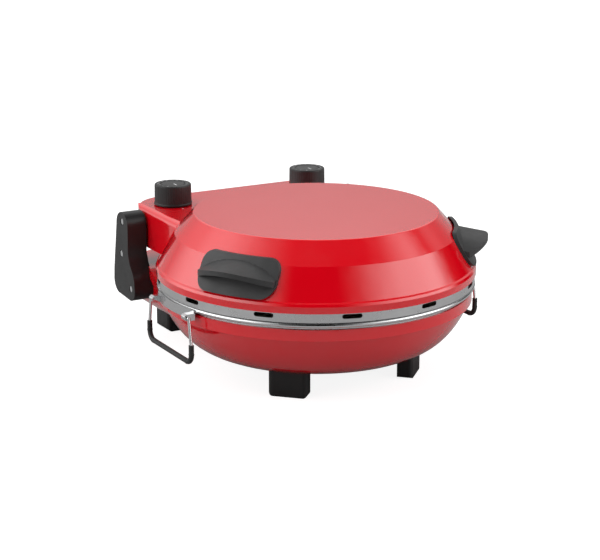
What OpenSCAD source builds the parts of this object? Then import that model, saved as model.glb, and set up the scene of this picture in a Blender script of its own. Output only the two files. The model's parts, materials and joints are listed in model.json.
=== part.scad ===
// Round countertop pizza oven: a stone in a lift-out pan, a hinged lid with its own heater.
// Stands on four feet. X runs to its right, Y to its rear, Z up from the surface it stands on.

/* [Round body] */
// Outer radius of the lid's lip
body_r = 175; // [168:0.5:182]
// Height of the base's top edge above the surface
rim_h = 93; // [84:1:100]
// Height of the base's underside above the surface
bottom_h = 26; // [22:1:32]
// How far the base's band stands inside the lid's lip
base_inset = 4; // [3:0.5:5]
// Height of the base's straight upper band
base_band_h = 12; // [8:1:16]
// How far the flat part of the base's underside ends inside the lid's lip
bottom_in = 79; // [76:1:84]
// Wall of the base
base_wall = 2; // [1.2:0.2:2.6]
// Width of the underside's flat ring round the service opening
service_in = 10; // [8:1:20]
// Overlap of a cover on the edge of its opening
cover_lap = 7; // [5.5:0.5:8]
// Thickness of the cover plates
cover_t = 1.5; // [1:0.1:2]
// Diameter of the screws that hold the covers
cover_screw_d = 3; // [2.5:0.5:4]

/* [Rear housing] */
// How far each side of the base's rear housing lies inside the lid's lip
house_in = 48; // [44:1:52]
// How far the rear wall stands behind the lid's lip
house_back = 51; // [48:1:56]
// Corner radius of the rear housings seen from above
house_corner = 42; // [36:1:46]
// Height of the base's rear underside above the surface
house_bottom_h = 34; // [32:1:38]
// Rounding of the base's rear housing along its lower sides
house_round = 28; // [22:1:30]
// Distance of the flares' rear ends before the rear wall
flare_in = 64; // [58:1:70]
// Width of the opening behind the rear cover
rear_open_w = 128; // [110:2:132]
// Height of the opening behind the rear cover
rear_open_h = 36; // [28:1:38]

/* [Lid] */
// Height of the lid from its lower edge to its flat top
lid_h = 66.3; // [62:0.1:72]
// How far the wall leans in from the lip to the shoulder
wall_lean = 21; // [19:0.1:26]
// Width of the sloping crown seen from above
crown_w = 20.8; // [17:0.1:23]
// Height of the sloping crown
crown_h = 22.7; // [18:0.1:24]
// Height of the upright lip
lip_h = 10; // [8.5:0.5:12]
// Thickness of the lip
lip_t = 1.5; // [1:0.1:2]
// Wall of the lid
lid_wall = 2; // [1.2:0.2:2.4]
// Height of the lid's rear housing
lid_house_h = 45.5; // [42:0.5:48]
// Rounding along the top of the lid's rear housing
lid_house_round = 8; // [5:1:10]
// Step in from the base's sides to the lid's rear housing
lid_house_step = 2.5; // [2.4:0.1:3]
// Clear height between the lip and the lid's rear housing
lid_house_lift = 1; // [0.5:0.5:3]
// Height of the inner reflector above the lip's lower edge
dome_h = 31; // [29:1:34]
// Thickness of the steel inner sheets
sheet_t = 1; // [0.6:0.1:1.4]

/* [Vent band] */
// Height of the steel band that shows below the lip
band_h = 9.8; // [8:0.2:12]
// Number of vent slots
slot_count = 12; // [8:1:16]
// Length of a vent slot
slot_l = 21; // [12:1:26]
// Height of a vent slot
slot_h = 4.8; // [3:0.2:6]
// Turn of the first slot from the front
slot_turn = 12.4; // [0:0.2:30]
// Clear gap between the band and the pan's bead
band_gap = 0.7; // [0.5:0.1:1.5]

/* [Stone and pan] */
// How far the stone's edge lies inside the lid's lip
stone_in = 20; // [19.5:0.5:28]
// Thickness of the stone
stone_t = 10; // [7:0.5:11]
// Clearance around the stone
stone_gap = 2; // [1:0.5:3]
// Diameter of the pan's rolled bead
bead_d = 5; // [4:0.2:6]
// Height of the bead's underside above the base's edge
bead_lift = 2.5; // [2.3:0.1:4]
// Width of the base's ledge that carries the pan
ledge_w = 8; // [6:0.5:9]

/* [Heaters] */
// Diameter of the heater tubes
tube_d = 6.5; // [5:0.5:8]
// How far the lower heater's outer loop lies inside the lid's lip
low_loop_in = 60; // [54:1:70]
// How far the upper heater's outer loop lies inside the lid's lip
up_loop_in = 70; // [64:1:78]
// Distance between the two loops of a heater
loop_step = 48; // [36:1:56]
// Half the distance between a heater's two legs
leg_x = 14; // [10:1:18]
// Height of the lower heater above the reflector
low_rise = 12; // [8:1:14]
// Depth of the lower reflector below the base's edge
dish_depth = 33; // [31:1:38]
// Drop of the upper heater below the inner reflector
up_drop = 12; // [8:1:16]

/* [Hinge] */
// How far the lid's pivot stands behind the lid's lip
hinge_back = 6; // [5:0.5:8]
// Height of the pivot above the base's edge
hinge_rise = 50; // [49:0.5:53]
// Diameter of the hinge bolts
pin_d = 6; // [5:0.5:7]
// Radial clearance of the hinge bolts in their bushes
pin_fit = 0.05; // [0.02:0.01:0.1]
// Thickness of a hinge arm
arm_t = 23.5; // [20:0.5:27]
// Radius of the arm's rounded top
arm_top_r = 15.5; // [13:0.5:17]
// Height of the arm's lower end above the surface
arm_low_h = 54; // [50:1:60]
// Width of the arm's lower end
arm_foot_w = 57; // [50:1:62]
// Wall of an arm
arm_wall = 3; // [2:0.5:4]
// Diameter of the recesses around the screw heads
recess_d = 8; // [7.8:0.1:10]
// Depth of the recesses
recess_deep = 2.5; // [2:0.1:4]
// Diameter of the screws that hold the arms
arm_screw_d = 4; // [3:0.5:5]
// Height of the tab that takes the middle screw
tab_h = 17; // [16:0.5:17.5]

/* [Knobs] */
// Distance of each knob's middle inside the housing's side
knob_in = 38.7; // [36:0.1:46]
// Distance of the knobs' middles before the rear wall
knob_rear = 50.7; // [46:0.1:54]
// Largest diameter of a knob
knob_d = 44; // [38:1:46]
// Height of a knob
knob_h = 23.5; // [20:0.5:28]
// Gap under a knob
knob_gap = 1; // [0.6:0.1:1.6]
// Diameter of the control shafts
shaft_d = 6; // [5:0.5:7]
// Width of the thermostat
thermostat_w = 34; // [28:1:38]
// Height of the thermostat
thermostat_h = 18; // [14:1:22]
// Width of the timer
timer_w = 42; // [34:1:44]
// Height of the timer
timer_h = 26; // [20:1:30]
// Depth of both controls
control_d = 30; // [26:1:34]

/* [Handles] */
// Turn of each handle from the front
handle_turn = 60; // [55:1:62]
// Width of a handle's plate
handle_w = 93; // [84:1:102]
// Thickness of a handle's plate
handle_t = 4; // [3:0.5:5]
// Height of the plate's top above the lid's shoulder
handle_over = 7; // [5:0.5:12]
// How far the grip reaches beyond the lid's lip
grip_out = 12.5; // [6:0.5:15]
// Radius of the grip's front edge seen from above
grip_front_r = 56; // [54:1:75]
// Thickness of the grip
grip_t = 5; // [4:0.5:6]
// Radius of the grip's arch
grip_arch_r = 82; // [74:1:92]
// Distance of a handle's screws from its middle
handle_screw_x = 30; // [24:1:34]
// Diameter of the screws that hold the handles
handle_screw_d = 4; // [3:0.5:5]

/* [Bails] */
// Diameter of the bail wire
wire_d = 3.3; // [2.8:0.1:3.8]
// Diameter of the rubber sleeve on the wire
sleeve_d = 5.6; // [4.8:0.1:6.4]
// Half the width between the bail's legs at the eyes
bail_x = 46; // [45:0.5:50]
// How much further out the legs stand at the bottom
bail_splay = 5; // [0:0.5:8]
// Depth of the bail below its eyes
bail_drop = 47.5; // [40:0.5:52]
// Radius of the bail's lower corners
bail_corner = 10; // [7:0.5:13]
// Height of the eyes below the bead's top
eye_drop = 8.5; // [8:0.1:10]
// Distance of the eyes outside the lid's lip
eye_out = 2.5; // [2.3:0.1:5]
// Height of the strap that carries the eyes
strap_h = 11; // [10:0.2:12]

/* [Wiring] */
// Distance of the cord gland from the middle
gland_in = 40; // [30:1:48]
// Bore of the cord gland
gland_bore = 7.5; // [6:0.5:9]
// Outer diameter of the gland's body
gland_d = 16; // [14:0.5:18]
// Width of the terminal block
block_w = 48; // [36:2:60]
// Depth of the terminal block
block_d = 18; // [14:1:22]
// Height of the terminal block
block_h = 16; // [12:1:18]

/* [Feet] */
// Distance of the front feet's middles outside the underside's flat part
foot_out = 9.3; // [9:0.1:11]
// Width of a front foot
foot_w = 43; // [36:1:46]
// Depth of a front foot
foot_d = 18; // [15:0.5:19]
// Distance of the rear feet's middles inside the housing's sides
rear_foot_in = 46; // [43:1:53]
// Distance of the rear feet's middles before the rear wall
rear_foot_rear = 19; // [18:1:23]
// Length of a rear foot
rear_foot_l = 36; // [30:1:38]
// Corner radius of the feet
foot_corner = 5; // [3:0.5:6]
// Diameter of the foot screws
foot_screw_d = 4; // [3:0.5:5]

/* [Hidden] */
$fn = 96;
eps = 0.01;

// Main radii and distances
crown_r = body_r - wall_lean;
top_r = crown_r - crown_w;
bottom_flat_r = body_r - bottom_in;
service_r = bottom_flat_r - service_in;
foot_ring_r = bottom_flat_r + foot_out;
house_y = body_r + house_back;
flare_y = house_y - flare_in;
hinge_y = body_r + hinge_back;
knob_y = house_y - knob_rear;
rear_foot_y = house_y - rear_foot_rear;
stone_d = 2 * (body_r - stone_in);
low_loop_r = body_r - low_loop_in;
up_loop_r = body_r - up_loop_in;
grip_reach = body_r + grip_out;

// Levels
lip_z = rim_h + bead_lift + bead_d + band_gap + band_h;
top_z = lip_z + lid_h;
crown_z = top_z - crown_h;
band_z = lip_z - band_h;
bead_z = rim_h + bead_lift + bead_d / 2;
hinge_z = rim_h + hinge_rise;
lh_z0 = lip_z + lid_house_lift;
lh_z1 = lh_z0 + lid_house_h;
knob_z = lh_z1 + knob_gap;

// Round body
base_r = body_r - base_inset;
band_out_r = body_r - lip_t;
band_in_r = band_out_r - 1.2;
foot_lip_z = rim_h - base_band_h;
ledge_r = base_r - ledge_w;
stone_z = rim_h + 2 * sheet_t - stone_t;
pan_in_r = stone_d / 2 + stone_gap;
pan_up_r = base_r - 2;

// Rear housing
hw = body_r - house_in;
lhw = hw - lid_house_step;
knob_x = hw - knob_in;
rear_foot_x = hw - rear_foot_in;
lhy = house_y - lid_house_step;
lhc = house_corner - lid_house_step;
// Radius that the lid's rear housing keeps to about the pivot, clear of the pan's bead
sweep_r = min(lhy - hinge_y, norm([hinge_y - pan_up_r - bead_d / 2, hinge_z - bead_z]) - bead_d / 2 - 0.9);

// Wall of the lid as a straight cone
wall_z0 = lip_z + lip_h + 1;
wall_r0 = body_r - 3;
function wall_r(z) = wall_r0 + (crown_r - wall_r0) * (z - wall_z0) / (crown_z - wall_z0);

function bez(a, b, c, d, t) =
    pow(1 - t, 3) * a + 3 * t * pow(1 - t, 2) * b + 3 * t * t * (1 - t) * c + pow(t, 3) * d;
// Section of the bowl below the base's band, drawn in by o
function bowl_pts(o) = [
    for (i = [0 : 14])
        bez([base_r - 2.5 - o, foot_lip_z], [base_r - 17 - 0.9 * o, bottom_h + 20 + 0.5 * o],
            [base_r - 38, bottom_h + o], [bottom_flat_r, bottom_h + o], i / 14)
];
// Section of the lid's round shell, drawn in by o
function lid_pts(o) = [
    [0, lip_z - (o > 0 ? 1 : 0)],
    [body_r - (o > 0 ? lip_t : 0), lip_z - (o > 0 ? 1 : 0)],
    [body_r - (o > 0 ? lip_t : 0), lip_z + lip_h - 3],
    [body_r - 1.3 - o, lip_z + lip_h - 0.4],
    [wall_r0 - 1.15 * o, wall_z0],
    [crown_r - 0.85 * o, crown_z - 0.55 * o],
    [top_r - 0.45 * o, top_z - o],
    [0, top_z - o]
];

// Extrudes an outline drawn in x and z from y0 to y1
module along_y(y0, y1) translate([0, y1, 0]) rotate([90, 0, 0]) linear_extrude(y1 - y0) children();
// Extrudes an outline drawn in y and z from x0 to x1
module along_x(x0, x1) translate([x0, 0, 0]) rotate([90, 0, 90]) linear_extrude(x1 - x0) children();
// Turns a piece from the front to an angle round the body
module turn_to(a) rotate([0, 0, a]) children();
module mirror_x() { children(); mirror([1, 0, 0]) children(); }
module rounded_box2(w, h, r) {
    square([w - 2 * r, h], center = true);
    square([w, h - 2 * r], center = true);
    for (x = [-1, 1], y = [-1, 1]) translate([x * (w / 2 - r), y * (h / 2 - r)]) circle(r);
}
// Hexagonal nut about the Z axis
module nut(af, h) cylinder(d = af / cos(30), h = h, $fn = 6);

// Rear block seen from above, with rounded rear corners
module block2(w, yr, rc) {
    translate([-w, 0]) square([2 * w, yr - rc]);
    translate([-w + rc, 0]) square([2 * (w - rc), yr]);
    for (s = [-1, 1]) translate([s * (w - rc), yr - rc]) circle(rc);
}
// Round body with its rear block and the straight flares between them
module plan2(r, w, yr, rc) {
    q = norm([w, flare_y]);
    a = atan2(w, flare_y) + acos(r / q);
    circle(r, $fn = 180);
    block2(w, yr, rc);
    polygon([[0, 0], [r * sin(a), r * cos(a)], [w, flare_y], [-w, flare_y], [-r * sin(a), r * cos(a)]]);
}

// ---- Base ----
module house_low(o) {
    intersection() {
        translate([0, 0, house_bottom_h + o])
            linear_extrude(rim_h - house_bottom_h - 2 * o) block2(hw - o, house_y - o, house_corner - o);
        along_y(0, house_y) {
            translate([-hw + o, house_bottom_h + house_round]) square([2 * (hw - o), rim_h - house_bottom_h]);
            translate([-hw + house_round, house_bottom_h]) square([2 * (hw - house_round), rim_h]);
            for (s = [-1, 1]) translate([s * (hw - house_round), house_bottom_h + house_round])
                circle(house_round - o);
        }
        along_x(-hw, hw) {
            translate([0, house_bottom_h + 14]) square([house_y - o, rim_h]);
            translate([0, house_bottom_h]) square([house_y - 14, rim_h]);
            translate([house_y - 14, house_bottom_h + 14]) circle(14 - o);
        }
    }
}
module base_solid(o) {
    rotate_extrude($fn = 180) polygon(concat([[0, foot_lip_z]], bowl_pts(o), [[0, bottom_h + o]]));
    translate([0, 0, foot_lip_z + (o > 0 ? o : 0)]) linear_extrude(base_band_h - 2 * o)
        plan2(base_r - o, hw - o, house_y - o, house_corner - o);
    if (o > 0) translate([0, 0, foot_lip_z - eps]) cylinder(r = base_r - 2.5 - o, h = o + 2 * eps, $fn = 180);
    house_low(o);
}
mid_screw_z = rim_h + tab_h - 5.5;
low_screw_z = arm_low_h + 14;
mid_screw_y = hinge_y + 4;
low_screw_y = hinge_y - 20;
// Places what follows on the middle and the lower screw of the left arm, pointing to the right
module at_arm_screws() {
    translate([-hw, mid_screw_y, mid_screw_z]) rotate([0, 90, 0]) children();
    translate([-hw, low_screw_y, low_screw_z]) rotate([0, 90, 0]) children();
}
foot_z1 = bottom_h + 6;
rear_foot_z1 = house_bottom_h + 6;
module at_front_feet() for (s = [-1, 1]) rotate([0, 0, s * 45]) translate([0, -foot_ring_r, 0]) children();
module at_rear_feet() for (s = [-1, 1]) translate([s * rear_foot_x, rear_foot_y, 0]) children();
bottom_screw_r = service_r + cover_lap / 2;
module at_bottom_screws() for (a = [45 : 90 : 315]) rotate([0, 0, a + 45]) translate([bottom_screw_r, 0, 0]) children();
rear_z = (house_bottom_h + 14 + foot_lip_z + base_band_h) / 2;
module at_rear_screws() for (sx = [-1, 1], sz = [-1, 1])
    translate([sx * (rear_open_w / 2 + cover_lap / 2), house_y, rear_z + sz * (rear_open_h / 2 - 6)])
        rotate([-90, 0, 0]) children();

module base_shell() color("#d0101c") difference() {
    union() {
        difference() {
            base_solid(0);
            base_solid(base_wall);
        }
        mirror_x() translate([-hw, hinge_y - 5, rim_h - 6]) cube([base_wall, 18, tab_h + 6]);
    }
    translate([0, 0, rim_h - 20]) cylinder(r = ledge_r, h = 30, $fn = 180);
    cylinder(r = service_r, h = bottom_h + 10);
    along_y(house_y - 10, house_y + 1) translate([0, rear_z]) rounded_box2(rear_open_w, rear_open_h, 4);
    mirror_x() at_arm_screws() translate([0, 0, -1]) cylinder(d = arm_screw_d, h = base_wall + 2);
    at_front_feet() cylinder(d = foot_screw_d, h = bottom_h + 12);
    at_rear_feet() cylinder(d = foot_screw_d, h = house_bottom_h + 12);
    at_bottom_screws() cylinder(d = cover_screw_d, h = bottom_h + 8);
    at_rear_screws() translate([0, 0, -base_wall - 1]) cylinder(d = cover_screw_d, h = base_wall + 2);
}
module base_bottom() color("#2b2b2d") difference() {
    translate([0, 0, bottom_h - cover_t]) cylinder(r = service_r + cover_lap, h = cover_t);
    at_bottom_screws() cylinder(d = cover_screw_d, h = bottom_h + 1);
    for (a = [0 : 30 : 330]) rotate([0, 0, a]) translate([service_r * 0.56, 0, 0]) cylinder(d = 6, h = bottom_h + 1);
}
module bottom_screws() color("silver") at_bottom_screws() {
    translate([0, 0, bottom_h - cover_t]) mirror([0, 0, 1]) cylinder(d = 2 * cover_screw_d, h = cover_screw_d / 2);
    translate([0, 0, bottom_h - cover_t - eps]) cylinder(d = cover_screw_d, h = cover_t + base_wall + 2 + eps);
}
gland_x = -gland_in;
module gland_hole(d) translate([gland_x, house_y, rear_z]) rotate([-90, 0, 0]) cylinder(d = d, h = 40, center = true);
module rear_cover() color("#2b2b2d") difference() {
    along_y(house_y, house_y + cover_t) translate([0, rear_z])
        rounded_box2(rear_open_w + 2 * cover_lap, rear_open_h + 2 * min(cover_lap, 4), 6);
    at_rear_screws() translate([0, 0, -1]) cylinder(d = cover_screw_d, h = cover_t + 2);
    gland_hole(gland_d);
}
module rear_cover_screws() color("silver") at_rear_screws() {
    translate([0, 0, cover_t]) cylinder(d = 2 * cover_screw_d, h = cover_screw_d / 2);
    translate([0, 0, -base_wall - 2]) cylinder(d = cover_screw_d, h = cover_t + base_wall + 2 + eps);
}
module cord_gland() color("#1b1b1c") difference() {
    translate([gland_x, house_y, rear_z]) rotate([-90, 0, 0]) {
        translate([0, 0, -6]) cylinder(d = gland_d, h = cover_t + 14);
        translate([0, 0, cover_t]) cylinder(d = gland_d + 7, h = 3);
        translate([0, 0, -4]) cylinder(d = gland_d + 5, h = 4);
    }
    gland_hole(gland_bore);
}
module terminal_block() color("#d8d2c4") difference() {
    translate([-block_w / 2, hinge_y - 2, house_bottom_h + base_wall]) cube([block_w, block_d, block_h]);
    for (x = [-3 : 2 : 3]) translate([x * block_w / 8, hinge_y - 2 + block_d / 2, house_bottom_h + base_wall + block_h / 2])
        rotate([90, 0, 0]) cylinder(d = 3.4, h = 2 * block_d, center = true);
}

// Piece of heater tube bent about the Z axis from angle a0 to a1
module bend(x, y, r, a0, a1) translate([x, y, 0]) rotate([0, 0, a0]) rotate_extrude(angle = a1 - a0)
    translate([r, 0]) circle(d = tube_d, $fn = 32);
module run_y(x, y0, y1) translate([x, y0, 0]) {
    rotate([-90, 0, 0]) cylinder(d = tube_d, h = y1 - y0, $fn = 32);
    sphere(d = tube_d + 1, $fn = 32);
}
// Heater tube: two half loops, an inner loop open at the front, and two legs at the rear
module heater(z, r, y1) {
    ri = r - loop_step;
    ao = acos(leg_x / r);
    ai = acos(leg_x / ri);
    translate([0, 0, z]) {
        bend(0, 0, ri, -ai, 180 + ai);
        mirror_x() {
            bend(0, 0, r, -ao, ao);
            run_y(leg_x, r * sin(ao), y1);
            run_y(leg_x, -r * sin(ao), -ri * sin(ai));
            translate([leg_x, -ri * sin(ai), 0]) sphere(d = tube_d + 1, $fn = 32);
        }
    }
}
low_z = rim_h - dish_depth + low_rise;
low_leg_y = hinge_y - 13;
dish_in_r = ledge_r - 2;
module base_reflector() color("silver") difference() {
    rotate_extrude($fn = 180) polygon([
        [0, rim_h - dish_depth - sheet_t], [base_r - 21, rim_h - dish_depth - sheet_t],
        [dish_in_r - 1, rim_h - 13], [dish_in_r, rim_h - sheet_t], [dish_in_r, rim_h],
        [base_r - 3, rim_h], [base_r - 3, rim_h + sheet_t], [dish_in_r - sheet_t, rim_h + sheet_t],
        [dish_in_r - sheet_t - 1, rim_h - 13], [base_r - 22, rim_h - dish_depth], [0, rim_h - dish_depth]
    ]);
    mirror_x() translate([leg_x, 0, low_z]) rotate([-90, 0, 0]) cylinder(d = tube_d + 1, h = 2 * body_r);
}
module lower_element() color("#4a4a4c") heater(low_z, low_loop_r, low_leg_y);
module lower_clips() color("silver") difference() {
    for (a = [45 : 90 : 315]) rotate([0, 0, a])
        translate([-5, low_loop_r - 7, rim_h - dish_depth]) cube([10, 14, low_rise]);
    translate([0, 0, low_z]) bend(0, 0, low_loop_r, 0, 360);
}

// ---- Stone, pan and bails ----
module bead_ring() translate([0, 0, bead_z]) rotate_extrude($fn = 180)
    translate([pan_up_r + bead_d / 2, 0]) circle(d = bead_d, $fn = 32);
module stone_pan() color("silver") {
    bead_ring();
    rotate_extrude($fn = 180) polygon([
        [stone_d / 2 - 10, stone_z - sheet_t], [pan_in_r + sheet_t, stone_z - sheet_t],
        [pan_in_r + sheet_t, rim_h + sheet_t], [pan_up_r + 1, rim_h + sheet_t],
        [pan_up_r + 1, bead_z], [pan_up_r, bead_z], [pan_up_r, rim_h + 2 * sheet_t],
        [pan_in_r, rim_h + 2 * sheet_t], [pan_in_r, stone_z], [stone_d / 2 - 10, stone_z]
    ]);
}
module stone() color("#d9c9ab") rotate_extrude($fn = 180) polygon([
    [0, stone_z], [stone_d / 2 - 1.5, stone_z], [stone_d / 2, stone_z + 1.5],
    [stone_d / 2, stone_z + stone_t - 2], [stone_d / 2 - 2, stone_z + stone_t], [0, stone_z + stone_t]
]);

eye_x = body_r + eye_out;
eye_z = bead_z + bead_d / 2 - eye_drop;
eye_l = 8;
eye_y = bail_x - wire_d / 2 - 0.9 - eye_l / 2;
eye_d = wire_d + 4;
strap_r = pan_up_r + bead_d;
strap_t = 1.6;
strap_a = asin((eye_y + eye_l / 2) / eye_x);
strap_z = bead_z + bead_d / 2 - 1 - strap_h;
module bail_bracket() difference() {
    union() {
        translate([0, 0, strap_z]) rotate([0, 0, 180 - strap_a]) rotate_extrude(angle = 2 * strap_a)
            translate([strap_r, 0]) square([strap_t, strap_h]);
        difference() {
            for (s = [-1, 1]) translate([-eye_x, s * eye_y, eye_z]) {
                rotate([90, 0, 0]) cylinder(d = eye_d, h = eye_l, center = true);
                translate([0, -eye_l / 2, -eye_d / 2]) cube([12, eye_l, eye_d]);
            }
            translate([0, 0, strap_z - 20]) cylinder(r = strap_r + 0.5, h = 60, $fn = 180);
        }
    }
    translate([-eye_x, 0, eye_z]) rotate([90, 0, 0]) cylinder(d = wire_d + 0.2, h = 4 * bail_x, center = true);
}
module bail_bracket_left() color("silver") bail_bracket();
module bail_bracket_right() color("silver") mirror([1, 0, 0]) bail_bracket();

// Bail seen from its side, from the eyes at [y, 0] down to the bar; a ball at each turn joins the runs
bx = bail_x + bail_splay;
leg_h = bail_drop - bail_corner;
kink_z = -0.62 * bail_drop;
module rod(p, q, d) translate([0, p[0], p[1]]) rotate([atan2(p[0] - q[0], q[1] - p[1]), 0, 0])
    cylinder(d = d, h = norm(q - p), $fn = 32);
module ball(p, d) translate([0, p[0], p[1]]) sphere(d = d + 0.5, $fn = 32);
module bail_low(d, z1) {
    for (m = [0, 1]) mirror([0, m, 0]) {
        translate([0, bx - bail_corner, -leg_h]) rotate([0, 90, 0])
            rotate_extrude(angle = 90) translate([bail_corner, 0]) circle(d = d, $fn = 32);
        ball([bx, -leg_h], d);
        ball([bx - bail_corner, -bail_drop], d);
        rod([bx, -leg_h], [bx, z1], d);
    }
    rod([bail_corner - bx, -bail_drop], [bx - bail_corner, -bail_drop], d);
}
module bail() translate([-eye_x, 0, eye_z]) {
    bail_low(wire_d, kink_z);
    for (m = [0, 1]) mirror([0, m, 0]) {
        ball([bx, kink_z], wire_d);
        rod([bx, kink_z], [bail_x, 0], wire_d);
        ball([bail_x, 0], wire_d);
        rod([bail_x, 0], [bail_x - eye_l - 3, 0], wire_d);
    }
}
module bail_sleeve() difference() {
    translate([-eye_x, 0, eye_z]) bail_low(sleeve_d, -bail_drop * 0.58);
    bail();
}
module bail_left() color("silver") bail();
module bail_right() color("silver") mirror([1, 0, 0]) bail();
module bail_sleeve_left() color("#202022") bail_sleeve();
module bail_sleeve_right() color("#202022") mirror([1, 0, 0]) bail_sleeve();

// ---- Feet ----
module foot(w, l, z1, head_z) difference() {
    intersection() {
        linear_extrude(z1) rounded_box2(w, l, foot_corner);
        rotate([90, 0, 0]) linear_extrude(l, center = true) {
            translate([-w / 2 + foot_corner, 0]) square([w - 2 * foot_corner, z1]);
            translate([-w / 2, foot_corner]) square([w, z1]);
            for (s = [-1, 1]) translate([s * (w / 2 - foot_corner), foot_corner]) circle(foot_corner);
        }
    }
    translate([0, 0, -1]) cylinder(d = foot_screw_d + 5, h = head_z + 1);
    cylinder(d = foot_screw_d, h = z1 + 1);
}
head_front_z = bottom_h - 18;
head_rear_z = house_bottom_h - 18;
module front_foot(s) color("#232325") difference() {
    rotate([0, 0, s * 45]) translate([0, -foot_ring_r, 0]) foot(foot_w, foot_d, foot_z1, head_front_z + 2);
    base_solid(0);
}
module rear_foot(s) color("#232325") difference() {
    translate([s * rear_foot_x, rear_foot_y, 0]) foot(foot_d + 2, rear_foot_l, rear_foot_z1, head_rear_z + 2);
    base_solid(0);
}
module foot_front_left() front_foot(-1);
module foot_front_right() front_foot(1);
module foot_rear_left() rear_foot(-1);
module foot_rear_right() rear_foot(1);
module foot_screw() {
    cylinder(d = foot_screw_d + 3, h = 2);
    cylinder(d = foot_screw_d, h = 24);
}
module foot_screws() color("silver") {
    at_front_feet() translate([0, 0, head_front_z]) foot_screw();
    at_rear_feet() translate([0, 0, head_rear_z]) foot_screw();
}

// ---- Hinge arms ----
// Outline of an arm in y and z, drawn in by o
module arm2(o) {
    y0 = hinge_y - 31;
    y1 = y0 + arm_foot_w;
    zc = hinge_z - 4.5;
    translate([hinge_y, zc]) circle(arm_top_r - o);
    translate([y0 + 13, arm_low_h + 13]) circle(13 - o);
    translate([y1 - 15, arm_low_h + 17]) circle(15 - o);
    polygon([
        [hinge_y - arm_top_r + o, zc], [hinge_y - arm_top_r + 1 + o, zc - 30],
        [y0 + 12 + o, zc - 42], [y0 + 4 + o, zc - 52], [y0 + 0.6 + o, zc - 61],
        [y0 + o, arm_low_h + 13], [y0 + 13, arm_low_h + o], [y1 - 17, arm_low_h + 2 + o],
        [y1 - o, arm_low_h + 17], [y1 - 1 - o, arm_low_h + 30],
        [hinge_y + arm_top_r + 2.5 - o, zc - 15], [hinge_y + arm_top_r - o, zc]
    ]);
}
arm_out = hw + arm_t;
head_h = 0.8 * recess_deep;
module at_arm_heads() {
    translate([-arm_out, hinge_y, hinge_z]) rotate([0, 90, 0]) children();
    translate([-arm_out, mid_screw_y, mid_screw_z]) rotate([0, 90, 0]) children();
    translate([-arm_out, low_screw_y, low_screw_z]) rotate([0, 90, 0]) children();
}
module arm() difference() {
    along_x(-arm_out, -hw) arm2(0);
    difference() {
        along_x(-arm_out + 5.5, -hw + 1) arm2(arm_wall);
        at_arm_heads() cylinder(r = 7.5, h = arm_t + 2);
    }
    at_arm_heads() translate([0, 0, -1]) cylinder(d = recess_d, h = recess_deep + 1);
    at_arm_screws() cylinder(d = arm_screw_d, h = 3 * arm_t, center = true);
    translate([-arm_out, hinge_y, hinge_z]) rotate([0, 90, 0]) cylinder(d = pin_d, h = 3 * arm_t, center = true);
    translate([0, 0, foot_lip_z]) linear_extrude(base_band_h) plan2(base_r, hw, house_y, house_corner);
}
module arm_left() color("#29292b") arm();
module arm_right() color("#29292b") mirror([1, 0, 0]) arm();
module arm_screws() color("silver") mirror_x() at_arm_screws() {
    translate([0, 0, -arm_t + recess_deep - head_h]) cylinder(d = recess_d - 0.6, h = head_h);
    translate([0, 0, -arm_t + recess_deep - eps]) cylinder(d = arm_screw_d, h = arm_t - recess_deep + base_wall + eps);
}
bush_flange = lid_house_step - 0.2;
nut_x = lhw - lid_wall - 2 - 0.3;
nut_h = pin_d * 2 / 3;
module hinge_bolts() color("silver") mirror_x() translate([-arm_out, hinge_y, hinge_z]) rotate([0, 90, 0]) {
    translate([0, 0, recess_deep - head_h]) cylinder(d = recess_d - 0.6, h = head_h);
    translate([0, 0, recess_deep - eps]) cylinder(d = pin_d, h = arm_out - nut_x + nut_h + 1 - recess_deep);
}
module hinge_nuts() color("silver") mirror_x() translate([-nut_x, hinge_y, hinge_z]) rotate([0, 90, 0]) difference() {
    nut(pin_d * 5 / 3, nut_h);
    translate([0, 0, -1]) cylinder(d = pin_d, h = nut_h + 2);
}
module hinge_bushes() color("#b08d57") mirror_x() translate([-lhw, hinge_y, hinge_z]) rotate([0, 90, 0]) difference() {
    union() {
        translate([0, 0, -bush_flange]) cylinder(d = pin_d + 10, h = bush_flange);
        translate([0, 0, -eps]) cylinder(d = pin_d + 4, h = lid_wall + 2 + eps);
    }
    cylinder(d = pin_d + 2 * pin_fit, h = 30, center = true);
}

// ---- Lid ----
// Side section of the lid's rear housing in y and z: drawn in at the bottom, top and rear
module lid_side2(ob, ot, orr) {
    intersection() {
        translate([hinge_y - 90, lh_z0 + ob]) square([lhy - orr - hinge_y + 90, lid_house_h - ob - ot]);
        union() {
            translate([hinge_y - 100, lh_z0 - 5]) square([100, lid_house_h + 10]);
            translate([hinge_y - 1, hinge_z]) square([100, 100]);
            translate([hinge_y, hinge_z]) circle(sweep_r - ob);
        }
    }
}
module lid_house(o, ob, orr) {
    rr = lid_house_round - o;
    intersection() {
        along_x(-lhw + o, lhw - o) lid_side2(ob, o, orr);
        translate([0, 0, lh_z0 - 5]) linear_extrude(lid_house_h + 10)
            block2(lhw - o, lhy - orr, lhc - orr);
        along_y(0, lhy) {
            translate([-lhw + o, lh_z0 - 5]) square([2 * (lhw - o), lid_house_h + 5 - lid_house_round]);
            translate([-lhw + lid_house_round, lh_z0 - 5]) square([2 * (lhw - lid_house_round), lid_house_h + 5 - o]);
            for (s = [-1, 1]) translate([s * (lhw - lid_house_round), lh_z1 - lid_house_round]) circle(rr);
        }
    }
}
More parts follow.
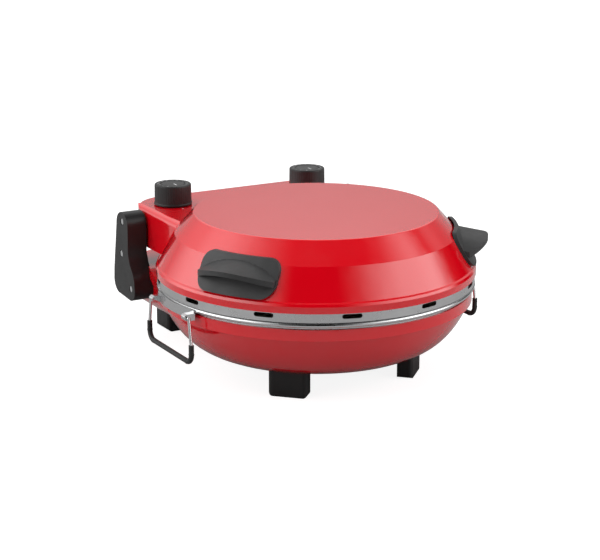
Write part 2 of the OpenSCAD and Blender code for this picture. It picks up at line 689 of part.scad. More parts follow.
// Inside of the lid's rear housing, open below
module lid_house_room() intersection() {
    along_x(-lhw + lid_wall, lhw - lid_wall)
        translate([hinge_y - 95, lh_z0 - 5]) square([lhy - lid_wall - hinge_y + 95, lid_house_h + 5 - lid_wall]);
    translate([0, 0, lh_z0 - 6]) linear_extrude(lid_house_h + 12)
        block2(lhw - lid_wall, lhy - lid_wall, lhc - lid_wall);
    along_y(0, lhy) {
        translate([-lhw, lh_z0 - 6]) square([2 * lhw, lid_house_h + 6 - lid_house_round]);
        translate([-lhw + lid_house_round, lh_z0 - 6]) square([2 * (lhw - lid_house_round), lid_house_h + 6]);
        for (s = [-1, 1]) translate([s * (lhw - lid_house_round), lh_z1 - lid_house_round])
            circle(lid_house_round - lid_wall);
    }
}
module at_knobs() for (s = [-1, 1]) translate([s * knob_x, knob_y, 0]) children();
module lid_shell() color("#d0101c") difference() {
    union() {
        rotate_extrude($fn = 180) polygon(lid_pts(0));
        lid_house(0, 0, 0);
    }
    rotate_extrude($fn = 180) polygon(lid_pts(lid_wall));
    difference() {
        lid_house_room();
        translate([0, 0, lip_z - 2]) difference() {
            cylinder(r = body_r + 1, h = lip_h + 2, $fn = 180);
            translate([0, 0, -1]) cylinder(r = body_r - lip_t - 1, h = lip_h + 4, $fn = 180);
        }
    }
    at_knobs() translate([0, 0, lh_z1 - 20]) cylinder(d = bush_d, h = 30);
    mirror_x() translate([-lhw, hinge_y, hinge_z]) rotate([0, 90, 0]) cylinder(d = pin_d + 4, h = 20, center = true);
    at_handle_screws() cylinder(d = handle_screw_d, h = 10 * handle_t, center = true);
}
// Level at which the housing's round underside meets the inner face of its rear wall
arc_z = hinge_z - sqrt(max(0, pow(sweep_r, 2) - pow(lhy - lid_wall - hinge_y, 2)));
module lid_rear_cover() color("#2b2b2d") difference() {
    intersection() {
        along_x(-lhw + lid_wall, lhw - lid_wall) difference() {
            lid_side2(0, 0, lid_wall);
            lid_side2(cover_t, -10, lid_wall - 10);
        }
        translate([0, 0, lh_z0 - 5]) linear_extrude(arc_z - lh_z0 + 5)
            block2(lhw - lid_wall, lhy - lid_wall, lhc - lid_wall);
    }
    cylinder(r = body_r + 1, h = 400, $fn = 180);
}
module vent_band() color("#c9cbcd") difference() {
    rotate_extrude($fn = 180) polygon([
        [band_in_r - 6, band_z], [band_out_r, band_z], [band_out_r, lip_z + 6], [band_in_r, lip_z + 6],
        [band_in_r, band_z + sheet_t], [band_in_r - 6, band_z + sheet_t]
    ]);
    for (k = [0 : slot_count - 1]) rotate([0, 0, slot_turn + k * 360 / slot_count])
        translate([0, -body_r + 20, lip_z - slot_h / 2 - 1]) rotate([90, 0, 0]) linear_extrude(40) {
            square([slot_l - slot_h, slot_h], center = true);
            for (s = [-1, 1]) translate([s * (slot_l - slot_h) / 2, 0]) circle(d = slot_h, $fn = 24);
        }
}
dome_z = lip_z + dome_h;
up_z = dome_z - up_drop;
module lid_dome() color("silver") difference() {
    rotate_extrude($fn = 180) polygon([
        [0, dome_z], [crown_r - 25.7, dome_z], [body_r - 25, lip_z + 3], [band_in_r, lip_z + 3],
        [band_in_r, lip_z + 3 + sheet_t], [body_r - 25 + 0.6, lip_z + 3 + sheet_t],
        [crown_r - 25.7 + 0.6, dome_z + sheet_t], [0, dome_z + sheet_t]
    ]);
    mirror_x() translate([leg_x, 0, up_z]) rotate([-90, 0, 0]) cylinder(d = tube_d + 1, h = 2 * body_r);
}
module upper_element() color("#4a4a4c") heater(up_z, up_loop_r, hinge_y - 23);
module upper_clips() color("silver") difference() {
    for (a = [45 : 90 : 315]) rotate([0, 0, a]) translate([-5, up_loop_r - 7, up_z]) cube([10, 14, up_drop]);
    translate([0, 0, up_z]) bend(0, 0, up_loop_r, 0, 360);
}

// ---- Controls ----
bush_d = shaft_d + 3.4;
module control(w, d, h) difference() {
    union() {
        translate([-w / 2, -d / 2, lh_z1 - lid_wall - h]) cube([w, d, h]);
        translate([0, 0, lh_z1 - lid_wall - eps]) cylinder(d = bush_d, h = lid_wall + knob_gap + 2.5);
    }
    translate([0, 0, lh_z1 - lid_wall - 10]) cylinder(d = shaft_d + 0.1, h = 40);
}
module thermostat() color("#e6e2d8") translate([-knob_x, knob_y, 0]) control(thermostat_w, control_d, thermostat_h);
module timer() color("#d9d9d9") translate([knob_x, knob_y, 0]) control(timer_w, control_d, timer_h);
module control_nuts() color("silver") at_knobs() translate([0, 0, lh_z1]) difference() {
    nut(bush_d + 4, 2);
    translate([0, 0, -1]) cylinder(d = bush_d, h = 4);
}
module control_shaft() translate([0, 0, lh_z1 - lid_wall - 9]) cylinder(d = shaft_d, h = 9 + lid_wall + knob_gap + knob_h - 6);
module thermostat_shaft() color("silver") translate([-knob_x, knob_y, 0]) control_shaft();
module timer_shaft() color("silver") translate([knob_x, knob_y, 0]) control_shaft();
cap_r = knob_d / 2 - 8.5;
module knob() translate([0, 0, knob_z]) difference() {
    rotate_extrude() difference() {
        polygon([
            [0, 0], [knob_d / 2, 0], [knob_d / 2, 1.6], [knob_d / 2 - 0.5, 2.2],
            [knob_d / 2 - 1.1, knob_h - 0.9], [knob_d / 2 - 2, knob_h], [0, knob_h]
        ]);
        translate([-1, -1]) square([bush_d / 2 + 6, 6.5]);
        translate([-1, knob_h - 1]) square([cap_r + 1, 3]);
    }
    translate([0, 0, -1]) cylinder(d = shaft_d, h = knob_h - 5);
}
module knob_cap() translate([0, 0, knob_z + knob_h - 1]) cylinder(r = cap_r, h = 0.8);
module knob_left() color("#29292b") translate([-knob_x, knob_y, 0]) knob();
module knob_right() color("#29292b") translate([knob_x, knob_y, 0]) knob();
module knob_cap_left() color("#232325") translate([-knob_x, knob_y, 0]) knob_cap();
module knob_cap_right() color("#232325") translate([knob_x, knob_y, 0]) knob_cap();

// ---- Handles ----
plate_z0 = wall_z0 + 1.5;
plate_z1 = crown_z + handle_over;
arch_z = plate_z1 - 5.5 - grip_arch_r;
screw_z = plate_z0 + 13;
// Places what follows on a handle's screws, pointing out of the lid along its middle line
module at_handle_screws() for (h = [-1, 1], s = [-1, 1]) rotate([0, 0, h * handle_turn])
    translate([s * handle_screw_x, -sqrt(pow(wall_r(screw_z), 2) - handle_screw_x * handle_screw_x), screw_z]) rotate([90, 0, 0]) children();
module handle_at_front() difference() {
    union() {
        intersection() {
            rotate_extrude($fn = 180) polygon([
                [wall_r(plate_z0) - 8, plate_z0], [wall_r(plate_z0) + handle_t, plate_z0],
                [wall_r(plate_z1) + handle_t, plate_z1], [wall_r(plate_z1), plate_z1]
            ]);
            along_y(-body_r - 20, 0) translate([0, (plate_z0 + plate_z1) / 2])
                rounded_box2(handle_w, plate_z1 - plate_z0, 14);
        }
        intersection() {
            translate([0, -wall_r(crown_z), arch_z]) rotate([11, 0, 0]) translate([0, wall_r(crown_z), 0])
                along_y(-body_r - 40, 0) difference() {
                    circle(grip_arch_r, $fn = 180);
                    circle(grip_arch_r - grip_t, $fn = 180);
                    translate([-2 * grip_arch_r, -4 * grip_arch_r]) square(4 * grip_arch_r);
                }
            translate([0, 0, plate_z0 + 8]) linear_extrude(plate_z1 - plate_z0) difference() {
                translate([0, -grip_reach + grip_front_r]) circle(grip_front_r, $fn = 180);
                translate([-handle_w, -top_r * 3 / 4]) square([2 * handle_w, 2 * top_r]);
            }
            along_y(-body_r - 40, -top_r / 2) translate([0, arch_z + grip_arch_r / 2])
                square([handle_w - 2, 2 * grip_arch_r], center = true);
        }
    }
    rotate_extrude($fn = 180) polygon([
        [0, plate_z0 - 20], [wall_r(plate_z0 - 20), plate_z0 - 20], [wall_r(plate_z1 + 10), plate_z1 + 10], [0, plate_z1 + 10]
    ]);
}
module handle(h) color("#29292b") difference() {
    rotate([0, 0, h * handle_turn]) handle_at_front();
    at_handle_screws() translate([0, 0, -2]) cylinder(d = handle_screw_d, h = handle_t + 1);
}
module handle_left() handle(-1);
module handle_right() handle(1);
module handle_screws() color("silver") at_handle_screws() {
    translate([0, 0, -lid_wall - 3.2]) mirror([0, 0, 1]) cylinder(d = handle_screw_d + 3, h = handle_screw_d / 2);
    translate([0, 0, -lid_wall - 3.2 - eps]) cylinder(d = handle_screw_d, h = lid_wall + 2.2 + handle_t + eps);
}

base_shell();
base_bottom();
bottom_screws();
rear_cover();
rear_cover_screws();
cord_gland();
terminal_block();
base_reflector();
lower_element();
lower_clips();
stone_pan();
stone();
bail_bracket_left();
bail_bracket_right();
bail_left();
bail_right();
bail_sleeve_left();
bail_sleeve_right();
foot_front_left();
foot_front_right();
foot_rear_left();
foot_rear_right();
foot_screws();
arm_left();
arm_right();
arm_screws();
hinge_bolts();
hinge_nuts();
hinge_bushes();
lid_shell();
lid_rear_cover();
vent_band();
lid_dome();
upper_element();
upper_clips();
thermostat();
timer();
control_nuts();
thermostat_shaft();
timer_shaft();
knob_left();
knob_right();
knob_cap_left();
knob_cap_right();
handle_left();
handle_right();
handle_screws();
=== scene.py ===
import json
import math
from functools import partial

import bmesh
import bpy
from mathutils import Matrix, Vector


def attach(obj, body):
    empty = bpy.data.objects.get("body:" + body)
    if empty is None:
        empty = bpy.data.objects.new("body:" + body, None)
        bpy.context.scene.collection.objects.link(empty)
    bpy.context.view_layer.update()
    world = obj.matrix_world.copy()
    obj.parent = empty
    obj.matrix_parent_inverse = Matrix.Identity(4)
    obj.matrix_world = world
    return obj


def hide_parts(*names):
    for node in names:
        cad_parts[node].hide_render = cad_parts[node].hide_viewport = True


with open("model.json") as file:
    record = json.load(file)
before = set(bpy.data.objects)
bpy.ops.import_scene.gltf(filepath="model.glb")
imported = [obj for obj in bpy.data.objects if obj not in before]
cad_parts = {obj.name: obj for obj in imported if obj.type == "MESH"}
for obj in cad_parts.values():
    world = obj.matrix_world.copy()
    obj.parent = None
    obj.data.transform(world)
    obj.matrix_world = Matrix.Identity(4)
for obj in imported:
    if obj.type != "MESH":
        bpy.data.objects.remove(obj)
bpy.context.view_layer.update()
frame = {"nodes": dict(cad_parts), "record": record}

MM = 0.001
NODES = frame["nodes"]
RECORD = frame["record"]
BODY_OF = {n: b for b, ns in RECORD["behaviour"]["bodies"].items() for n in ns}
SLOT_OF = {p["node"]: p["material_slot"] for p in RECORD["subparts"]}


# ---- Camera, studio and floor ----
def place_camera():
    azimuth, turn, tilt = math.radians(-29.9), math.radians(-0.502), math.radians(15.728)
    ahead = Vector((-math.sin(azimuth), math.cos(azimuth), 0))
    right = Vector((math.cos(azimuth), math.sin(azimuth), 0))
    ahead = ahead * math.cos(turn) + right * math.sin(turn)
    ahead = ahead * math.cos(tilt) - Vector((0, 0, 1)) * math.sin(tilt)
    right = ahead.cross(Vector((0, 0, 1))).normalized()
    up = right.cross(ahead)
    data = bpy.data.cameras.new("camera")
    data.sensor_fit = "HORIZONTAL"
    data.sensor_width = 36
    data.lens = 1781.8 / 600 * 36
    data.clip_end = 50
    camera = bpy.data.objects.new("camera", data)
    turned = Matrix((right, up, -ahead)).transposed().to_4x4()
    camera.matrix_world = Matrix.Translation((-0.9399, -1.6329, 0.6282)) @ turned
    bpy.context.scene.collection.objects.link(camera)
    bpy.context.scene.camera = camera


def math_node(nodes, links, kind, *values):
    node = nodes.new("ShaderNodeMath")
    node.operation = kind
    for i, v in enumerate(values):
        if isinstance(v, (int, float)):
            node.inputs[i].default_value = v
        else:
            links.new(v, node.inputs[i])
    return node.outputs[0]


def ramp_node(nodes, links, value, low, high, to_low=0.0, to_high=1.0):
    node = nodes.new("ShaderNodeMapRange")
    node.interpolation_type = "SMOOTHSTEP"
    links.new(value, node.inputs["Value"])
    node.inputs["From Min"].default_value = low
    node.inputs["From Max"].default_value = high
    node.inputs["To Min"].default_value = to_low
    node.inputs["To Max"].default_value = to_high
    return node.outputs[0]


LEFT_LIGHT, RIGHT_LIGHT, CEILING_LIGHT = 2.5, 2.6, 2.4


def light_studio():
    """Two softboxes and a pale room behind, by bearing from the front and by height in degrees."""
    world = bpy.data.worlds.new("studio")
    bpy.context.scene.world = world
    world.use_nodes = True
    nodes, links = world.node_tree.nodes, world.node_tree.links
    nodes.clear()
    math_of, rise = partial(math_node, nodes, links), partial(ramp_node, nodes, links)

    def fall(value, low, high):
        return ramp_node(nodes, links, value, low, high, 1.0, 0.0)

    def product(first, *others):
        for other in others:
            first = math_of("MULTIPLY", first, other)
        return first

    place = nodes.new("ShaderNodeTexCoord")
    parts = nodes.new("ShaderNodeSeparateXYZ")
    links.new(place.outputs["Generated"], parts.inputs[0])
    x, y, z = parts.outputs
    degree = math.degrees(1)
    bearing = math_of("MULTIPLY", math_of("ARCTAN2", x, math_of("MULTIPLY", y, -1.0)), degree)
    height = math_of("MULTIPLY", math_of("ARCSINE", z), degree)
    aside = math_of("ABSOLUTE", bearing)
    left_box = product(rise(bearing, -180, -120), fall(bearing, -98, -48), fall(height, 30, 75), LEFT_LIGHT)
    right_box = product(rise(bearing, -12, 48), fall(bearing, 70, 92), fall(height, 30, 62), RIGHT_LIGHT)
    room = math_of("ADD", product(rise(aside, 104, 124), 0.34),
                   product(rise(aside, 84, 100), rise(height, 8, 42), 0.8))
    room = product(room, fall(height, 50, 75))
    back_glow = product(rise(bearing, 139, 150), fall(bearing, 152.4, 156), rise(height, 13.4, 16),
                        fall(height, 25, 40), 0.9)
    total = left_box
    for part in (right_box, room, back_glow):
        total = math_of("MAXIMUM", total, part)
    # A broad ceiling light that only fills in, without a reflection of its own
    path = nodes.new("ShaderNodeLightPath")
    ceiling = product(rise(height, 45, 80), path.outputs["Is Diffuse Ray"], CEILING_LIGHT)
    total = math_of("ADD", total, ceiling)
    studio = nodes.new("ShaderNodeBackground")
    studio.inputs["Color"].default_value = (1, 1, 1, 1)
    links.new(total, studio.inputs["Strength"])
    white = nodes.new("ShaderNodeBackground")
    white.inputs["Color"].default_value = (1, 1, 1, 1)
    white.inputs["Strength"].default_value = 1.0
    mix = nodes.new("ShaderNodeMixShader")
    links.new(path.outputs["Is Camera Ray"], mix.inputs[0])
    links.new(studio.outputs[0], mix.inputs[1])
    links.new(white.outputs[0], mix.inputs[2])
    out = nodes.new("ShaderNodeOutputWorld")
    links.new(mix.outputs[0], out.inputs[0])


def lay_floor():
    bm = bmesh.new()
    bmesh.ops.create_circle(bm, cap_ends=True, radius=6.0, segments=96)
    mesh = bpy.data.meshes.new("floor")
    bm.to_mesh(mesh)
    bm.free()
    floor = bpy.data.objects.new("floor", mesh)
    bpy.context.scene.collection.objects.link(floor)
    material = bpy.data.materials.new("pale_floor")
    material.use_nodes = True
    nodes, links = material.node_tree.nodes, material.node_tree.links
    nodes.clear()
    matt = nodes.new("ShaderNodeBsdfDiffuse")
    matt.inputs["Color"].default_value = (0.36, 0.36, 0.36, 1)
    glow = nodes.new("ShaderNodeEmission")
    glow.inputs["Strength"].default_value = 0.87
    both = nodes.new("ShaderNodeAddShader")
    links.new(matt.outputs[0], both.inputs[0])
    links.new(glow.outputs[0], both.inputs[1])
    path = nodes.new("ShaderNodeLightPath")
    mix = nodes.new("ShaderNodeMixShader")
    links.new(path.outputs["Is Camera Ray"], mix.inputs[0])
    links.new(matt.outputs[0], mix.inputs[1])
    links.new(both.outputs[0], mix.inputs[2])
    out = nodes.new("ShaderNodeOutputMaterial")
    links.new(mix.outputs[0], out.inputs[0])
    mesh.materials.append(material)


bpy.context.scene.view_settings.view_transform = "Standard"
place_camera()
light_studio()
lay_floor()


# ---- Shared effects ----
def new_group(name, inputs, outputs):
    group = bpy.data.node_groups.new(name, "ShaderNodeTree")
    for label, value in inputs:
        socket = group.interface.new_socket(name=label, in_out="INPUT", socket_type="NodeSocketFloat")
        socket.default_value = value
    for label in outputs:
        group.interface.new_socket(name=label, in_out="OUTPUT", socket_type="NodeSocketFloat")
    start = group.nodes.new("NodeGroupInput")
    end = group.nodes.new("NodeGroupOutput")
    return group, start, end


def noise(nodes, links, vector, scale, detail=3.0, rough=0.55):
    node = nodes.new("ShaderNodeTexNoise")
    node.inputs["Detail"].default_value = detail
    node.inputs["Roughness"].default_value = rough
    links.new(vector, node.inputs["Vector"])
    if isinstance(scale, (int, float)):
        node.inputs["Scale"].default_value = scale
    else:
        links.new(scale, node.inputs["Scale"])
    return node.outputs["Fac"]


def make_grain():
    """Fine pits and pebbles of moulded plastic or powder paint, as a height."""
    group, start, end = new_group("grain", [("Scale", 900.0), ("Pits", 0.35)], ["Height"])
    nodes, links = group.nodes, group.links
    where = nodes.new("ShaderNodeTexCoord").outputs["Object"]
    fine = noise(nodes, links, where, start.outputs["Scale"], 2.0)
    cells = nodes.new("ShaderNodeTexVoronoi")
    links.new(where, cells.inputs["Vector"])
    links.new(start.outputs["Scale"], cells.inputs["Scale"])
    pits = math_node(nodes, links, "MULTIPLY", cells.outputs["Distance"], start.outputs["Pits"])
    links.new(math_node(nodes, links, "ADD", fine, pits), end.inputs["Height"])
    return group


def make_blotch():
    """Slow change over a surface between two values, as of handling, heat or uneven gloss."""
    group, start, end = new_group("blotch", [("Scale", 12.0), ("Low", 0.0), ("High", 1.0)], ["Value"])
    nodes, links = group.nodes, group.links
    where = nodes.new("ShaderNodeTexCoord").outputs["Object"]
    cloud = noise(nodes, links, where, start.outputs["Scale"], 5.0, 0.62)
    node = nodes.new("ShaderNodeMapRange")
    links.new(cloud, node.inputs["Value"])
    node.inputs["From Min"].default_value = 0.34
    node.inputs["From Max"].default_value = 0.66
    links.new(start.outputs["Low"], node.inputs["To Min"])
    links.new(start.outputs["High"], node.inputs["To Max"])
    links.new(node.outputs[0], end.inputs["Value"])
    return group


def make_brushing():
    """Brush lines that run round the body's upright axis, as a height and as a streak value."""
    group, start, end = new_group("brushing", [("Lines", 2600.0), ("Run", 5.0)], ["Height", "Streak"])
    nodes, links = group.nodes, group.links
    where = nodes.new("ShaderNodeTexCoord").outputs["Object"]
    parts = nodes.new("ShaderNodeSeparateXYZ")
    links.new(where, parts.inputs[0])
    x, y, z = parts.outputs
    run, lines = start.outputs["Run"], start.outputs["Lines"]
    math_of = partial(math_node, nodes, links)
    angle = math_of("ARCTAN2", y, x)
    out = math_of("SQRT", math_of("ADD", math_of("MULTIPLY", x, x), math_of("MULTIPLY", y, y)))
    across = nodes.new("ShaderNodeCombineXYZ")
    links.new(math_of("MULTIPLY", math_of("SINE", angle), run), across.inputs[0])
    links.new(math_of("MULTIPLY", math_of("ADD", z, out), lines), across.inputs[1])
    links.new(math_of("MULTIPLY", math_of("COSINE", angle), run), across.inputs[2])
    streak = noise(nodes, links, across.outputs[0], 1.0, 3.0, 0.7)
    links.new(streak, end.inputs["Height"])
    links.new(streak, end.inputs["Streak"])
    return group


GRAIN, BLOTCH, BRUSHING = make_grain(), make_blotch(), make_brushing()


def use_group(material, group, **values):
    node = material.node_tree.nodes.new("ShaderNodeGroup")
    node.node_tree = group
    for label, value in values.items():
        node.inputs[label].default_value = value
    return node


def start_material(name, color, roughness, metallic=0.0, **sockets):
    material = bpy.data.materials.new(name)
    material.use_nodes = True
    shader = material.node_tree.nodes["Principled BSDF"]
    shader.inputs["Base Color"].default_value = (*color, 1)
    shader.inputs["Roughness"].default_value = roughness
    shader.inputs["Metallic"].default_value = metallic
    for label, value in sockets.items():
        shader.inputs[label.replace("_", " ")].default_value = value
    material.diffuse_color = (*color, 1)
    return material, shader


def add_bump(material, shader, height, distance, strength=1.0):
    bump = material.node_tree.nodes.new("ShaderNodeBump")
    bump.inputs["Distance"].default_value = distance
    bump.inputs["Strength"].default_value = strength
    material.node_tree.links.new(height, bump.inputs["Height"])
    material.node_tree.links.new(bump.outputs[0], shader.inputs["Normal"])


def vary_color(material, shader, group_node, dark, light, output="Value"):
    mix = material.node_tree.nodes.new("ShaderNodeMix")
    mix.data_type = "RGBA"
    mix.inputs[6].default_value = (*dark, 1)
    mix.inputs[7].default_value = (*light, 1)
    material.node_tree.links.new(group_node.outputs[output], mix.inputs[0])
    material.node_tree.links.new(mix.outputs[2], shader.inputs["Base Color"])


def red_enamel():
    material, shader = start_material("red_enamel", (0.74, 0.0006, 0.008), 0.16, Coat_Weight=1.0,
                                      Coat_Roughness=0.04, Coat_IOR=1.5)
    cloud = use_group(material, BLOTCH, Scale=9.0)
    vary_color(material, shader, cloud, (0.73, 0.0004, 0.0075), (0.75, 0.0009, 0.0088))
    rough = use_group(material, BLOTCH, Scale=26.0, Low=0.13, High=0.18)
    material.node_tree.links.new(rough.outputs[0], shader.inputs["Roughness"])
    peel = use_group(material, GRAIN, Scale=300.0, Pits=0.0)
    add_bump(material, shader, peel.outputs[0], 0.000004)
    return material


def moulded_plastic(name, tone, roughness, grain=1400.0, depth=0.00004):
    color = (tone, tone, tone * 1.03)
    material, shader = start_material(name, color, roughness, Specular_IOR_Level=0.38)
    darker, lighter = (tone * 0.9,) * 3, (tone * 1.12, tone * 1.12, tone * 1.15)
    vary_color(material, shader, use_group(material, BLOTCH, Scale=55.0), darker, lighter)
    rough = use_group(material, BLOTCH, Scale=38.0, Low=roughness - 0.05, High=roughness + 0.06)
    material.node_tree.links.new(rough.outputs[0], shader.inputs["Roughness"])
    add_bump(material, shader, use_group(material, GRAIN, Scale=grain).outputs[0], depth)
    return material


def sheet_metal(name, color, roughness, lines=2600.0, depth=0.00001, run=5.0, spread=0.06):
    material, shader = start_material(name, color, roughness, metallic=1.0)
    brush = use_group(material, BRUSHING, Lines=lines, Run=run)
    darker, lighter = [c * 0.90 for c in color], [min(1, c * 1.06) for c in color]
    vary_color(material, shader, brush, darker, lighter, "Streak")
    rough = use_group(material, BLOTCH, Scale=30.0, Low=roughness - spread, High=roughness + spread)
    material.node_tree.links.new(rough.outputs[0], shader.inputs["Roughness"])
    add_bump(material, shader, brush.outputs["Height"], depth)
    return material


def plated_metal(name, color, roughness, blotch=60.0, grain=2200.0, depth=0.000006):
    material, shader = start_material(name, color, roughness, metallic=1.0)
    vary_color(material, shader, use_group(material, BLOTCH, Scale=blotch), [c * 0.93 for c in color], color)
    rough = use_group(material, BLOTCH, Scale=blotch * 1.7, Low=roughness * 0.75, High=roughness * 1.35)
    material.node_tree.links.new(rough.outputs[0], shader.inputs["Roughness"])
    add_bump(material, shader, use_group(material, GRAIN, Scale=grain).outputs[0], depth)
    return material


def fired_body(name, dark, light, scale, roughness=0.85, depth=0.00012):
    material, shader = start_material(name, light, roughness)
    vary_color(material, shader, use_group(material, BLOTCH, Scale=scale), dark, light)
    rough = use_group(material, BLOTCH, Scale=scale * 2, Low=roughness - 0.08, High=roughness + 0.06)
    material.node_tree.links.new(rough.outputs[0], shader.inputs["Roughness"])
    add_bump(material, shader, use_group(material, GRAIN, Scale=scale * 9, Pits=0.8).outputs[0], depth)
    return material


def heated_tube():
    material, shader = start_material("heated_tube", (0.16, 0.15, 0.15), 0.5, metallic=0.8)
    cloud = use_group(material, BLOTCH, Scale=40.0)
    vary_color(material, shader, cloud, (0.07, 0.065, 0.07), (0.24, 0.21, 0.19))
    rough = use_group(material, BLOTCH, Scale=90.0, Low=0.4, High=0.62)
    material.node_tree.links.new(rough.outputs[0], shader.inputs["Roughness"])
    add_bump(material, shader, use_group(material, GRAIN, Scale=1500.0).outputs[0], 0.00003)
    return material


FINISH = {
    "red_paint": red_enamel(),
    "black_plastic": moulded_plastic("arm_plastic", 0.015, 0.40),
    "handle_plastic": moulded_plastic("handle_plastic", 0.036, 0.48),
    "knob_plastic": moulded_plastic("knob_plastic", 0.020, 0.42),
    "knob_disc": moulded_plastic("knob_disc", 0.022, 0.36),
    "foot_plastic": moulded_plastic("foot_plastic", 0.011, 0.46),
    "rear_plastic": moulded_plastic("rear_plastic", 0.030, 0.55, 800.0, 0.00006),
    "gland_rubber": moulded_plastic("gland_rubber", 0.018, 0.68, 1000.0),
    "sleeve_plastic": moulded_plastic("sleeve_plastic", 0.022, 0.50, 1600.0),
    "bright_steel": sheet_metal("bright_steel", (0.66, 0.665, 0.67), 0.20, 1400.0, 0.000008),
    "brushed_band": sheet_metal("brushed_band", (0.62, 0.625, 0.63), 0.30, 3200.0, 0.000012),
    "reflector_steel": sheet_metal("reflector_steel", (0.70, 0.705, 0.71), 0.26, 1500.0, 0.000008),
    "chrome_wire": plated_metal("chrome_wire", (0.80, 0.80, 0.805), 0.09),
    "screw_steel": plated_metal("screw_steel", (0.60, 0.605, 0.61), 0.28),
    "bright_screw": plated_metal("bright_screw", (0.78, 0.785, 0.79), 0.14),
    "plated_steel": plated_metal("plated_steel", (0.58, 0.585, 0.60), 0.36, 35.0),
    "timer_case": plated_metal("timer_case", (0.62, 0.625, 0.63), 0.40, 30.0),
    "bush_brass": plated_metal("bush_brass", (0.72, 0.52, 0.25), 0.30, 45.0),
    "ceramic_body": fired_body("ceramic_body", (0.70, 0.66, 0.58), (0.80, 0.77, 0.70), 70.0),
    "baking_stone": fired_body("baking_stone", (0.52, 0.44, 0.34), (0.74, 0.66, 0.53), 120.0),
    "heater_tube": heated_tube(),
    "dial_print": moulded_plastic("dial_print", 0.72, 0.5),
}


# ---- Pieces ----
def radius_of(p):
    return math.hypot(p.x, p.y)


def cad_copy(node, flat=0.35):
    """A merged copy of a node's own solid, with the cuts across its flat faces dissolved."""
    bm = bmesh.new()
    bm.from_mesh(NODES[node].data)
    bmesh.ops.remove_doubles(bm, verts=bm.verts, dist=0.000002)
    bmesh.ops.dissolve_degenerate(bm, dist=0.000001, edges=bm.edges)
    if flat:
        bmesh.ops.dissolve_limit(bm, angle_limit=math.radians(flat), use_dissolve_boundaries=False,
                                 verts=bm.verts, edges=bm.edges, delimit={"NORMAL"})
    return bm


def round_edges(bm, width, segments=2, test=None, angle=24):
    """Rounds the edges sharper than an angle whose middles pass a test, width in mm."""
    limit = math.radians(angle)
    edges = [e for e in bm.edges if len(e.link_faces) == 2 and e.calc_face_angle(0) > limit
             and (test is None or test((e.verts[0].co + e.verts[1].co) / 2 / MM))]
    if edges:
        bmesh.ops.bevel(bm, geom=edges, offset=width * MM, offset_type="OFFSET", segments=segments,
                        profile=0.5, affect="EDGES", clamp_overlap=True, loop_slide=True, material=-1)


def finish_piece(bm, name, body, material, stands_for=(), smooth=32):
    """Makes the mesh an object that rides on its body, smooth but for edges over an angle."""
    limit = math.radians(smooth)
    for f in bm.faces:
        f.smooth = True
    for e in bm.edges:
        e.smooth = len(e.link_faces) == 2 and e.calc_face_angle(0) < limit
    mesh = bpy.data.meshes.new(name)
    bm.to_mesh(mesh)
    bm.free()
    piece = bpy.data.objects.new(name, mesh)
    bpy.context.scene.collection.objects.link(piece)
    mesh.materials.append(material)
    weighted = piece.modifiers.new("even_normals", "WEIGHTED_NORMAL")
    weighted.keep_sharp = True
    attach(piece, body)
    if stands_for:
        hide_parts(*stands_for)
    return piece


def dress(node, width=0.5, segments=2, rounds=(), smooth=32, flat=0.35):
    """Replaces a rigid node by its own solid with eased edges: first the named ones, then the rest."""
    bm = cad_copy(node, flat)
    for w, s, test in rounds:
        round_edges(bm, w, s, test)
    if width:
        round_edges(bm, width, segments)
    slot = SLOT_OF[node]
    return finish_piece(bm, node + "_shaped", BODY_OF[node], FINISH[slot], (node,), smooth)


for node, piece in NODES.items():
    piece.data.materials.clear()
    piece.data.materials.append(FINISH[SLOT_OF[node]])

# Thickness of a printed mark, and how far its middle lies above the face that carries it
MARK_THICK, MARK_LIFT = 0.1, 0.02
# Room between the knobs and the lid's rear housing
KNOB_GAP = 1.0


def place_range(node, axis):
    """The lowest and the highest place of a node along an axis, in mm."""
    places = [v.co[axis] / MM for v in NODES[node].data.vertices]
    return min(places), max(places)


def shape_mark(x, y, z, length, width, turn=0.0):
    """A thin printed mark with rounded corners, its long side turned from +Y, in mm."""
    bm = bmesh.new()
    bmesh.ops.create_cube(bm, size=1)
    bmesh.ops.scale(bm, vec=(width * MM, length * MM, MARK_THICK * MM), verts=bm.verts)
    round_edges(bm, min(width, length) * 0.3, 2, lambda p: abs(p.z) < 0.01)
    bmesh.ops.translate(bm, vec=(0, 0, z * MM), verts=bm.verts)
    bmesh.ops.rotate(bm, cent=(0, 0, 0), matrix=Matrix.Rotation(turn, 3, "Z"), verts=bm.verts)
    bmesh.ops.translate(bm, vec=(x * MM, y * MM, 0), verts=bm.verts)
    return bm


def print_marks(name, body, marks):
    """Joins the marks of one dial, each shifted outward, into one printed piece."""
    whole = bmesh.new()
    for x, y, z, length, width, turn, out in marks:
        part = shape_mark(x - out * math.sin(turn), y + out * math.cos(turn), z, length, width, turn)
        mesh = bpy.data.meshes.new("mark")
        part.to_mesh(mesh)
        part.free()
        whole.from_mesh(mesh)
        bpy.data.meshes.remove(mesh)
    return finish_piece(whole, name, body, FINISH["dial_print"])


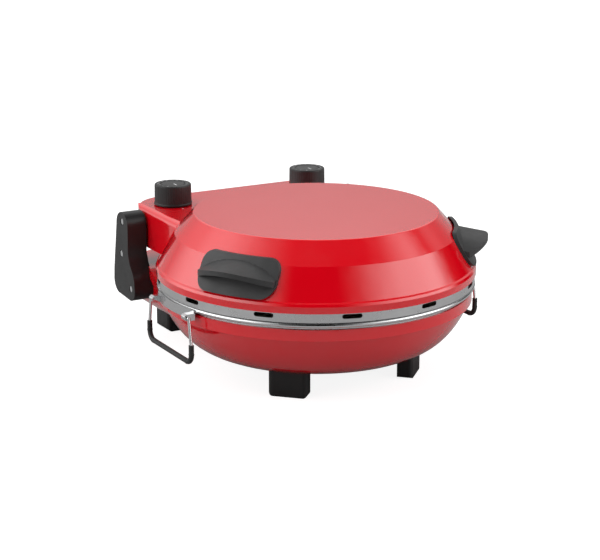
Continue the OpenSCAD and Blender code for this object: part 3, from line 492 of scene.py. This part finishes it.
def shape_knob(node, sweep):
    """A lathe-turned knob with a foot flange, fine ribs, a ring groove and a printed scale."""
    x, y = (sum(place_range(node, axis)) / 2 for axis in (0, 1))
    z0, z1 = place_range(node, 2)
    z1 -= MARK_THICK * 0.8
    ribs, rib_depth, grip_radius = 48, 0.22, 21
    profile = [(0, z0), (21.4, z0), (21.85, z0 + 0.4), (21.85, z0 + 1.5), (21.5, z0 + 2.0), (21.3, z0 + 2.2),
               (21.2, z0 + 2.8), (21.0, z1 - 2.4), (20.9, z1 - 1.2), (20.6, z1 - 0.5), (20.1, z1 - 0.1),
               (19.5, z1), (14.4, z1), (14.1, z1 - 0.15), (14.0, z1 - 0.5), (14.0, z1 - 1.2), (0, z1 - 1.2)]
    bm = bmesh.new()
    verts = [bm.verts.new((r * MM, 0, z * MM)) for r, z in profile]
    for a, b in zip(verts, verts[1:]):
        bm.edges.new((a, b))
    bmesh.ops.spin(bm, geom=bm.verts[:] + bm.edges[:], cent=(0, 0, 0), axis=(0, 0, 1), angle=math.tau,
                   steps=240, use_merge=True)
    bmesh.ops.remove_doubles(bm, verts=bm.verts, dist=0.000001)
    bmesh.ops.recalc_face_normals(bm, faces=bm.faces)
    for v in bm.verts:
        if z0 + 2.5 < v.co.z / MM < z1 - 1.0 and radius_of(v.co) > 0.0205:
            depth = rib_depth * (0.5 + 0.5 * math.cos(ribs * math.atan2(v.co.y, v.co.x)))
            v.co.xy *= 1 - depth / grip_radius
    bmesh.ops.translate(bm, vec=(x * MM, y * MM, 0), verts=bm.verts)
    slot = SLOT_OF[node]
    finish_piece(bm, node + "_shaped", BODY_OF[node], FINISH[slot], (node,))
    # Each mark: centre, height, length, width, turn and distance outward
    first, steps, scale_radius = math.pi - math.radians((360 - sweep) / 2), 12, 16.6
    marks = [(x, y, z1 + MARK_LIFT, 1.6 if i % 3 else 2.4, 0.5,
              first - math.radians(sweep) * i / steps, scale_radius) for i in range(steps + 1)]
    marks.append((x, y, z1 - 0.14, 8.0, 1.1, 0.0, -6.5))
    print_marks(node + "_scale", BODY_OF[node], marks)
    index = (x, y, z0 - KNOB_GAP + MARK_LIFT, 4.0, 1.0, 0.0, -25.5)
    print_marks(node + "_index", BODY_OF["lid_shell"], [index])


# Middles of an arm's pivot and screws, as places along Y and up, in mm
SCREW_HEAD = 4
screw_low, screw_high = place_range("arm_screws", 2)
ARM_HOLES = ((181, 143), (185, screw_high - SCREW_HEAD), (161, screw_low + SCREW_HEAD))
HOUSE_TOP = place_range("knob_left", 2)[0] - KNOB_GAP
HOUSE_REAR = place_range("lid_shell", 1)[1]
LID_TOP = place_range("lid_shell", 2)[1]


def arm_outline(p):
    """The outer rim of an arm, clear of its pivot and screw holes."""
    clear = all(math.hypot(p.y - y, p.z - z) >= 9.5 for y, z in ARM_HOLES)
    return clear and abs(p.x) > 140


def house_top_edge(p):
    return abs(p.z - HOUSE_TOP) < 0.3 and p.y > HOUSE_REAR - 22 and radius_of(p) > 160


def top_ring(p):
    return p.z > LID_TOP - 0.3


ROUND_FOOT = dict(width=2.6, segments=5)
ROUND_ARM = dict(rounds=((2.0, 4, arm_outline),))
ROUND_HANDLE = dict(width=0.9, segments=3)
ROUND_CAP = dict(width=0.35, segments=3)
SHAPED = {
    "stone_pan": dict(width=0, flat=0, smooth=50),
    "vent_band": dict(width=0),
    "lid_shell": dict(rounds=((6.0, 6, house_top_edge), (1.0, 3, top_ring)), smooth=9),
    **{"arm_" + side: ROUND_ARM for side in ("left", "right")},
    **{"handle_" + side: ROUND_HANDLE for side in ("left", "right")},
    **{"knob_cap_" + side: ROUND_CAP for side in ("left", "right")},
    **{"foot_" + end + side: ROUND_FOOT for end in ("front_", "rear_") for side in ("left", "right")},
}
for node in NODES:
    if node not in ("knob_left", "knob_right"):
        dress(node, **SHAPED.get(node, {}))
shape_knob("knob_left", 270)
shape_knob("knob_right", 300)
